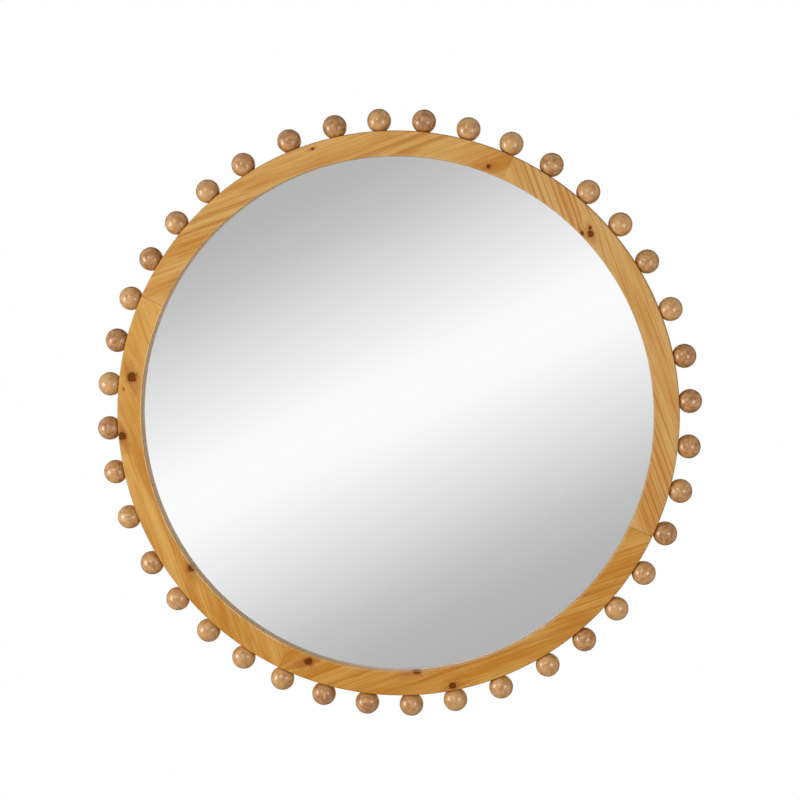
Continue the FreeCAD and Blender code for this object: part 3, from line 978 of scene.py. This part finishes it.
def ball_tree():
    """The tree that puts a turned ball, with its flat, on each point of a mesh."""
    tree, given, result = tree_with_inputs(
        "turned_balls", Float=("Radius", "Seat"), Int=("Seed",), Material=("Material",)
    )
    position = out_of(tree, "GeometryNodeInputPosition")
    outward = vector_of(tree, "MULTIPLY", position, (1, 0, 1))
    facing = out_of(tree, "FunctionNodeAlignRotationToVector", {"Vector": outward}, axis="Z")
    ball = seated_ball(tree, given, position)
    plain = on_points(tree, ball_seats(tree, given, position), ball, facing)

    # the place of each point inside its own bit of wood
    turn = recalled(tree, "ball_spin")
    local = vector_of(tree, "SUBTRACT", position, recalled(tree, "ball_centre"))
    rotated = out_of(
        tree, "ShaderNodeVectorRotate", {"Vector": local, "Rotation": turn}, rotation_type="EULER_XYZ"
    )
    wood_place = vector_of(tree, "ADD", rotated, vector_of(tree, "MULTIPLY", turn, GRAIN_SHIFT))
    return end_tree(tree, stored(tree, plain, "wood_place", wood_place), given, result)


# %% [markdown]
# The balls' wood is browner than the pine, under a glossier varnish. Growth rings, fibres and
# clouds are small here, because a ball holds only a few centimetres of wood.

# %% The wood of the balls
BALL_PALE = (0.580, 0.312, 0.106, 1)
BALL_MIDDLE = (0.450, 0.204, 0.056, 1)
BALL_DEEP = (0.290, 0.110, 0.026, 1)
BALL_RING_SPACING = 0.0034


def ball_material():
    """Semi-gloss varnished wood that reads each ball's own tone and grain."""
    material, tree = new_material("ball_wood")
    wood = add_node(tree, "ShaderNodeAttribute", attribute_name="wood_place").outputs["Vector"]
    tone = add_node(tree, "ShaderNodeAttribute", attribute_name="ball_tone").outputs["Fac"]
    sway = stretched_noise(tree, wood, (40, 90, 90), detail=2)
    radial = math_of(tree, "DIVIDE", weighed_length(tree, wood, (0, 1, 1)), BALL_RING_SPACING)
    count = math_of(tree, "ADD", radial, math_of(tree, "MULTIPLY", sway, 1.6))
    late = saw_tooth(tree, count, (0.2, 0.85), 0.86)
    fibre = stretched_noise(tree, wood, (90, 1300, 1300), detail=3, roughness=0.65)
    cloud = stretched_noise(tree, wood, (70, 170, 170), detail=3)
    share = math_of(tree, "MULTIPLY", late, 0.22)
    share = math_of(tree, "ADD", share, eased(tree, fibre, 0.25, 0.75, -0.16, 0.16))
    share = math_of(tree, "ADD", share, eased(tree, cloud, 0.32, 0.68, -0.20, 0.50))
    share = math_of(tree, "ADD", share, eased(tree, tone, 0.0, 1.0, -0.16, 0.38), clamp=True)
    colour = mixed_colour(tree, eased(tree, share, 0.0, 0.5), BALL_PALE, BALL_MIDDLE)
    colour = mixed_colour(tree, eased(tree, share, 0.45, 1.0), colour, BALL_DEEP)
    end_with_principled(tree, {
        "Base Color": colour, "Roughness": 0.30, "Normal": bump_of(tree, 0.05, 0.2 * MM, fibre),
        "Specular IOR Level": 0.72,
    })
    return material


# %% [markdown]
# All forty balls are one piece, because they share one body, one wood and one rule. Each
# ball's flat lies on the rim, and its middle is the height of its seat further out.

# %% The balls
BALL_RADIUS = 16.0 * MM
BALL_SEAT = 13.5 * MM
BALL_SEED = 11
ball_nodes = sorted(name for name in frame["nodes"] if name.startswith("ball_"))
ball_low, ball_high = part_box(ball_nodes[0])
ball_depth = (ball_low.y + ball_high.y) / 2
centres = bpy.data.meshes.new("ball_centres")
centres.from_pydata([
    round_axis(RIM_RADIUS + BALL_SEAT, middle_turn(node_points(node)), ball_depth)
    for node in ball_nodes
], [], [])
balls = smoothed(grown("turned_balls", ball_tree(), {
    "Radius": BALL_RADIUS, "Seat": BALL_SEAT, "Seed": BALL_SEED, "Material": ball_material(),
}, centres))
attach(balls, "mirror")
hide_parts(*ball_nodes)
print(len(ball_nodes), "balls, faces", len(balls.data.polygons))

# %% [markdown]
# The mirror is a silvered sheet. A fully metallic surface with almost no roughness is the
# plain way to make one, and it keeps its look in an exported model. A trace of noise in the
# roughness stands for the faint veil that handled glass has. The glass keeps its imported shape.

# %% The mirror glass
SILVER = (0.955, 0.960, 0.958, 1)


def silver_material():
    """Silvered glass."""
    material, tree = new_material("silvered_glass")
    veil = stretched_noise(tree, object_place(tree), (6, 6, 6), detail=3)
    roughness = eased(tree, veil, 0.35, 0.8, 0.004, 0.012)
    end_with_principled(tree, {"Base Color": SILVER, "Metallic": 1.0, "Roughness": roughness})
    return material


def dress(node, material):
    """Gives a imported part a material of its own."""
    mesh = frame["nodes"][node].data
    mesh.materials.clear()
    mesh.materials.append(material)
    print(node, "is", material.name)


dress("mirror_glass", silver_material())

# %% [markdown]
# The back. A hardboard disc closes the rebate, and steel points hold it. Pressed board has no
# grain, only fine fibres and soft blotches, so plain noise at three scales makes it.

# %% The backing board
BOARD_DARK = (0.265, 0.160, 0.085, 1)
BOARD_LIGHT = (0.325, 0.205, 0.115, 1)
BOARD_FIBRE = (0.42, 0.29, 0.18, 1)
BOARD_FLECK = (0.13, 0.07, 0.035, 1)


def board_material():
    """Bare hardboard."""
    material, tree = new_material("hardboard")
    place = object_place(tree)
    blotch = stretched_noise(tree, place, (9, 9, 9), detail=4)
    fibre = stretched_noise(tree, place, (900, 900, 260), detail=3, roughness=0.7)
    fleck = stretched_noise(tree, place, (380, 380, 1100), detail=2)
    colour = mixed_colour(tree, eased(tree, blotch, 0.3, 0.7), BOARD_DARK, BOARD_LIGHT)
    colour = mixed_colour(tree, eased(tree, fibre, 0.45, 0.8, 0.0, 0.5), colour, BOARD_FIBRE)
    colour = mixed_colour(tree, eased(tree, fleck, 0.62, 0.8, 0.0, 0.6), colour, BOARD_FLECK)
    end_with_principled(tree, {
        "Base Color": colour, "Roughness": eased(tree, blotch, 0.2, 0.8, 0.55, 0.72),
        "Normal": bump_of(tree, 0.25, 0.3 * MM, fibre), "Specular IOR Level": 0.3,
    })
    return material


dress("backing_board", board_material())

# %% [markdown]
# Steel. The straps and wire rings are zinc plated, with a soft mottle, and the screws have a
# yellower plating. Both come from one function with colours and a mottle of their own.

# %% Plated steel
ZINC_BRIGHT = (0.66, 0.67, 0.69, 1)
ZINC_DULL = (0.50, 0.51, 0.53, 1)
YELLOW_BRIGHT = (0.72, 0.62, 0.38, 1)
YELLOW_DULL = (0.55, 0.45, 0.26, 1)
ZINC_MOTTLE = 220
YELLOW_MOTTLE = 400


def plated_steel(name, bright, darker, mottle_cells):
    """Zinc-plated steel with a cloudy, slightly streaked surface."""
    material, tree = new_material(name)
    place = object_place(tree)
    mottle = stretched_noise(tree, place, (mottle_cells,) * 3, detail=4)
    streak = stretched_noise(tree, place, (1400, 1400, 160), detail=2)
    roughness = math_of(
        tree, "ADD", eased(tree, mottle, 0.3, 0.7, 0.24, 0.38), eased(tree, streak, 0.3, 0.7, 0.0, 0.08)
    )
    end_with_principled(tree, {
        "Base Color": mixed_colour(tree, eased(tree, mottle, 0.3, 0.7), bright, darker),
        "Metallic": 1.0, "Roughness": roughness, "Normal": bump_of(tree, 0.15, 0.2 * MM, streak),
    })
    return material


zinc = plated_steel("zinc_steel", ZINC_BRIGHT, ZINC_DULL, ZINC_MOTTLE)
yellow_zinc = plated_steel("screw_steel", YELLOW_BRIGHT, YELLOW_DULL, YELLOW_MOTTLE)
print("steels", zinc.name, yellow_zinc.name)

# %% [markdown]
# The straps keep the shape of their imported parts. A copy is merged and cleaned, and a small
# bevel breaks its punched edges so that they catch the light.

# %% The strap hangers
MERGE_DISTANCE = 0.002 * MM
STRAP_BEVEL = 0.12 * MM
STRAP_SHARP = 35.0


def opened(node):
    """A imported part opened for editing, with its doubled corners merged."""
    builder = bmesh.new()
    builder.from_mesh(frame["nodes"][node].data)
    bmesh.ops.remove_doubles(builder, verts=builder.verts, dist=MERGE_DISTANCE)
    return builder


def finished_copy(name, node, material, edge, sharp_angle):
    """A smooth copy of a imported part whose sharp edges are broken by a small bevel."""
    builder = opened(node)
    bmesh.ops.dissolve_limit(
        builder, angle_limit=math.radians(1), verts=builder.verts, edges=builder.edges
    )
    sharp = [
        line for line in builder.edges
        if len(line.link_faces) == 2 and line.calc_face_angle() > math.radians(sharp_angle)
    ]
    bmesh.ops.bevel(
        builder, geom=sharp, offset=edge, segments=2, profile=0.5, affect="EDGES", clamp_overlap=True
    )
    bmesh.ops.triangulate(builder, faces=builder.faces)
    return smoothed(mesh_object(name, built_mesh(name, builder), material), sharp_angle)


for side in ("left", "right"):
    node = f"hanger_strap_{side}"
    strap = finished_copy(f"strap_hanger_{side}", node, zinc, STRAP_BEVEL, STRAP_SHARP)
    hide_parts(node)
    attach(strap, "mirror")
    print(strap.name, "faces", len(strap.data.polygons))

# %% [markdown]
# Each wire ring is one closed wire bent to a D: a straight bar in the eye, two short legs and
# a half round bow. A curve with a round bevel is the natural way to make wire. The joint
# gives the bar's place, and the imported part's box gives the rest.

# %% The wire rings
WIRE_RADIUS = 1.6 * MM
WIRE_ROUNDNESS = 8
WIRE_SHARP = 60.0
CORNER_RADIUS = 2.4 * MM
ARC_STEPS = 48


def bend(centre_x, centre_z, radius, start, sweep, steps):
    """Points along a bend, by angles in degrees."""
    turns = [math.radians(start + sweep * step / steps) for step in range(steps + 1)]
    return [(centre_x + radius * math.cos(t), centre_z + radius * math.sin(t)) for t in turns]


def wire_ring(name, node, bar):
    """The closed wire of one hanger, hanging down from its bar."""
    low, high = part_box(node)
    half_width = (high.x - low.x) / 2 - WIRE_RADIUS
    leg = high.z - WIRE_RADIUS - (low.z + WIRE_RADIUS) - half_width - CORNER_RADIUS
    across = half_width - CORNER_RADIUS
    route = bend(across, -CORNER_RADIUS, CORNER_RADIUS, 90, -90, ARC_STEPS // 4)
    route += bend(0, -CORNER_RADIUS - leg, half_width, 0, -180, ARC_STEPS)
    route += bend(-across, -CORNER_RADIUS, CORNER_RADIUS, 180, -90, ARC_STEPS // 4)
    data = bpy.data.curves.new(name, "CURVE")
    data.dimensions = "3D"
    data.bevel_depth = WIRE_RADIUS
    data.bevel_resolution = WIRE_ROUNDNESS
    spline = data.splines.new("POLY")
    spline.points.add(len(route) - 1)
    for point, (x, z) in zip(spline.points, route):
        point.co = (bar[0] + x, bar[1], bar[2] + z, 1)
    spline.use_cyclic_u = True
    return smoothed(mesh_object(name, plain_mesh(scene_object(name, data)), zinc), WIRE_SHARP)


for joint in frame["joints"]:
    side = joint["name"].rsplit("_", 1)[1]
    node = f"hanger_ring_{side}"
    ring = wire_ring(f"wire_ring_{side}", node, joint["pos_m"])
    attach(ring, f"ring_{side}")
    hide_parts(node)
    print(ring.name, "on", joint["name"], "faces", len(ring.data.polygons))

# %% [markdown]
# Screws, points and pads repeat, so each is modelled once and a tree copies it to its seats.
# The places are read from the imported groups, solid by solid. Points and pads are also turned
# by their angle about the mirror's axis.

# %% The tree that copies a piece to its seats


def copies_tree():
    """The tree that puts a given object on each point of a mesh, turned about Y."""
    tree, given, result = tree_with_inputs("copies", Object=("Piece",), Material=("Material",))
    shape = add_node(tree, "GeometryNodeObjectInfo", {"Object": given["Piece"]}).outputs["Geometry"]
    turn = math_of(tree, "MULTIPLY", recalled(tree, "seat_turn", "FLOAT"), -1.0)
    angles = out_of(tree, "ShaderNodeCombineXYZ", {"Y": turn})
    rotation = out_of(tree, "FunctionNodeEulerToRotation", {0: angles})
    return end_tree(tree, on_points(tree, given["Geometry"], shape, rotation), given, result)


seat_tree = copies_tree()


def copied(name, node, blank, material, seats):
    """Copies a blank to its seats, each a place and a turn, in the place of a group."""
    points = bpy.data.meshes.new(name)
    points.from_pydata([place for place, _ in seats], [], [])
    turns = points.attributes.new("seat_turn", "FLOAT", "POINT")
    turns.data.foreach_set("value", [turn for _, turn in seats])
    piece = smoothed(grown(name, seat_tree, {"Piece": blank, "Material": material}, points))
    bpy.data.objects.remove(blank)
    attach(piece, "mirror")
    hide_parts(node)
    print(name, len(seats), "copies, faces", len(piece.data.polygons))
    return piece


def separate_solids(node):
    """The points of each separate solid of a packed group, always in the same order."""
    builder = opened(node)
    left = dict.fromkeys(builder.verts)
    solids = []
    while left:
        found, border = [], [left.popitem()[0]]
        while border:
            vertex = border.pop()
            found.append(vertex.co[:])
            for line in vertex.link_edges:
                other = line.other_vert(vertex)
                if other in left:
                    del left[other]
                    border.append(other)
        solids.append(np.array(found))
    builder.free()
    return solids


def box_middle(points):
    """The middle of the box round some points."""
    return (points.min(0) + points.max(0)) / 2


# %% [markdown]
# A countersunk screw is turned, so its outline is spun about its axis. The cross in the head
# is cut with a tapered cross of two crossed wedges, which is what the driver's tip is. No two
# screws stop at the same turn, so each cross points another way.

# %% The hanger screws
screw_low, screw_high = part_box("hanger_screws")
SCREW_LENGTH = screw_high.y - screw_low.y
SCREW_STEPS = 40
SCREW_FIRST_TURN = 0.4
SCREW_NEXT_TURN = 0.9
HEAD_RADIUS = 3.5 * MM
SHANK_RADIUS = 1.75 * MM
RECESS_REACH = 2.0 * MM
RECESS_TIP = RECESS_REACH * 0.35
RECESS_HALF = 0.42 * MM
RECESS_DEPTH = 1.5 * MM
CUTTER_RISE = 0.3 * MM
# radius and place along Y, from the head's flat to the shank's end
SCREW_OUTLINE = (
    (HEAD_RADIUS - 0.5 * MM, 0.0), (HEAD_RADIUS - 0.12 * MM, -0.03 * MM),
    (HEAD_RADIUS, -0.14 * MM), (HEAD_RADIUS - 0.08 * MM, -0.25 * MM),
    (SHANK_RADIUS, SHANK_RADIUS - HEAD_RADIUS), (SHANK_RADIUS, -SCREW_LENGTH),
)


def spun(name, outline, steps):
    """A closed solid turned about Y from an outline of (radius, place along Y)."""
    builder = bmesh.new()
    turns = [2 * math.pi * step / steps for step in range(steps)]
    rows = [
        [builder.verts.new(round_axis(radius, turn, place)) for turn in turns]
        for radius, place in outline
    ]
    for row, following in zip(rows, rows[1:]):
        for step in range(steps):
            after = (step + 1) % steps
            builder.faces.new((row[step], row[after], following[after], following[step]))
    builder.faces.new(rows[0][::-1])
    builder.faces.new(rows[-1])
    bmesh.ops.recalc_face_normals(builder, faces=builder.faces)
    return built_mesh(name, builder)


def cross_mesh():
    """Two crossed wedges that narrow towards their tip, a little proud of the head."""
    builder = bmesh.new()
    for turn in (0, math.pi / 2):
        corners = []
        for place, reach in ((CUTTER_RISE, RECESS_REACH), (-RECESS_DEPTH, RECESS_TIP)):
            for x, z in rectangle(-reach, reach, -RECESS_HALF, RECESS_HALF):
                turned = Matrix.Rotation(turn, 3, "Y") @ Vector((x, place, z))
                corners.append(builder.verts.new(turned))
        for loop in ((0, 1, 2, 3), (7, 6, 5, 4), (0, 4, 5, 1), (1, 5, 6, 2), (2, 6, 7, 3), (3, 7, 4, 0)):
            builder.faces.new([corners[index] for index in loop])
    bmesh.ops.recalc_face_normals(builder, faces=builder.faces)
    return built_mesh("cross", builder)


def screw_blank():
    """One screw with its head up to +Y."""
    body = mesh_object("screw_body", spun("screw", SCREW_OUTLINE, SCREW_STEPS))
    cutter = mesh_object("screw_cutter", cross_mesh())
    cut = body.modifiers.new("recess", "BOOLEAN")
    cut.operation, cut.object, cut.solver, cut.use_self = "DIFFERENCE", cutter, "EXACT", True
    mesh = plain_mesh(body)
    bpy.data.objects.remove(cutter)
    return mesh_object("screw_blank", mesh)


screw_seats = []
for number, points in enumerate(separate_solids("hanger_screws")):
    x, _, z = box_middle(points)
    screw_seats.append(((x, points[:, 1].max(), z), SCREW_FIRST_TURN + SCREW_NEXT_TURN * number))
screws = copied("strap_screws", "hanger_screws", screw_blank(), yellow_zinc, screw_seats)

# %% [markdown]
# A glazing point is a stamped plate with a sharp end in the wood and a blunt end over the
# board. Its outline is extruded, its edges are broken, and a low rib stiffens the blunt half.

# %% The glazing points
POINT_HALF_LENGTH = 6.0 * MM
POINT_HALF_WIDTH = 3.0 * MM
POINT_HALF_DEPTH = 0.25 * MM
POINT_EDGE = 0.08 * MM
RIB_HALF = 0.7 * MM
RIB_RISE = 0.25 * MM
RIB_EDGE = 0.2 * MM
# from the blunt end's corner round to the tip and back
POINT_OUTLINE = (
    (-POINT_HALF_LENGTH, -POINT_HALF_WIDTH), (0.0, -POINT_HALF_WIDTH),
    (POINT_HALF_LENGTH, 0.0), (0.0, POINT_HALF_WIDTH), (-POINT_HALF_LENGTH, POINT_HALF_WIDTH),
)


def extruded_blank(name, outline, back, front, edge, segments=2):
    """A plate from an outline of (x, z), from one place along Y to another."""
    builder = bmesh.new()
    face = builder.faces.new([builder.verts.new((x, back, z)) for x, z in outline])
    grown_faces = bmesh.ops.extrude_face_region(builder, geom=[face])
    moved = [item for item in grown_faces["geom"] if isinstance(item, bmesh.types.BMVert)]
    bmesh.ops.translate(builder, verts=moved, vec=(0, front - back, 0))
    bmesh.ops.recalc_face_normals(builder, faces=builder.faces)
    bmesh.ops.bevel(
        builder, geom=list(builder.edges), offset=edge, segments=segments, profile=0.5, affect="EDGES"
    )
    return mesh_object(name, built_mesh(name, builder))


def point_blank():
    """One glazing point, its tip towards +X and its plate about Y = 0."""
    blank = extruded_blank("point_blank", POINT_OUTLINE, -POINT_HALF_DEPTH, POINT_HALF_DEPTH, POINT_EDGE)
    rib = rectangle(-POINT_HALF_LENGTH + MM, -MM, -RIB_HALF, RIB_HALF)
    ridge = extruded_blank("point_rib", rib, 0.0, POINT_HALF_DEPTH + RIB_RISE, RIB_EDGE)
    builder = bmesh.new()
    builder.from_mesh(blank.data)
    builder.from_mesh(ridge.data)
    builder.to_mesh(blank.data)
    builder.free()
    bpy.data.objects.remove(ridge)
    return blank


point_low, point_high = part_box("glazing_points")
point_depth = (point_low.y + point_high.y) / 2
point_turns = [middle_turn(points) for points in separate_solids("glazing_points")]
point_seats = [(round_axis(REBATE_RADIUS, turn, point_depth), turn) for turn in point_turns]
point_pieces = copied("glazing_tabs", "glazing_points", point_blank(), zinc, point_seats)

# %% [markdown]
# The pads are plain squares of black rubber with soft edges. A fine pebble in the bump keeps
# them from looking like painted wood.

# %% The wall pads
PAD_HALF = 8.0 * MM
PAD_EDGE = 0.9 * MM
RUBBER_BLACK = (0.018, 0.018, 0.019, 1)
RUBBER_DUST = (0.050, 0.048, 0.045, 1)


def rubber_material():
    """Black rubber with a fine pebble."""
    material, tree = new_material("pad_rubber")
    place = object_place(tree)
    pebble = stretched_noise(tree, place, (900, 900, 900), detail=2)
    dust = stretched_noise(tree, place, (160, 160, 160), detail=3)
    end_with_principled(tree, {
        "Base Color": mixed_colour(tree, eased(tree, dust, 0.4, 0.8), RUBBER_BLACK, RUBBER_DUST),
        "Roughness": eased(tree, dust, 0.3, 0.8, 0.55, 0.8), "Normal": bump_of(tree, 0.4, 0.3 * MM, pebble),
    })
    return material


pad_low, pad_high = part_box("wall_pads")
square = rectangle(-PAD_HALF, PAD_HALF, -PAD_HALF, PAD_HALF)
pad_blank = extruded_blank("pad_blank", square, pad_low.y, pad_high.y, PAD_EDGE, 3)
pad_seats = []
for points in separate_solids("wall_pads"):
    x, _, z = box_middle(points)
    pad_seats.append(((x, 0.0, z), math.atan2(z, x)))
pads = copied("wall_bumpers", "wall_pads", pad_blank, rubber_material(), pad_seats)
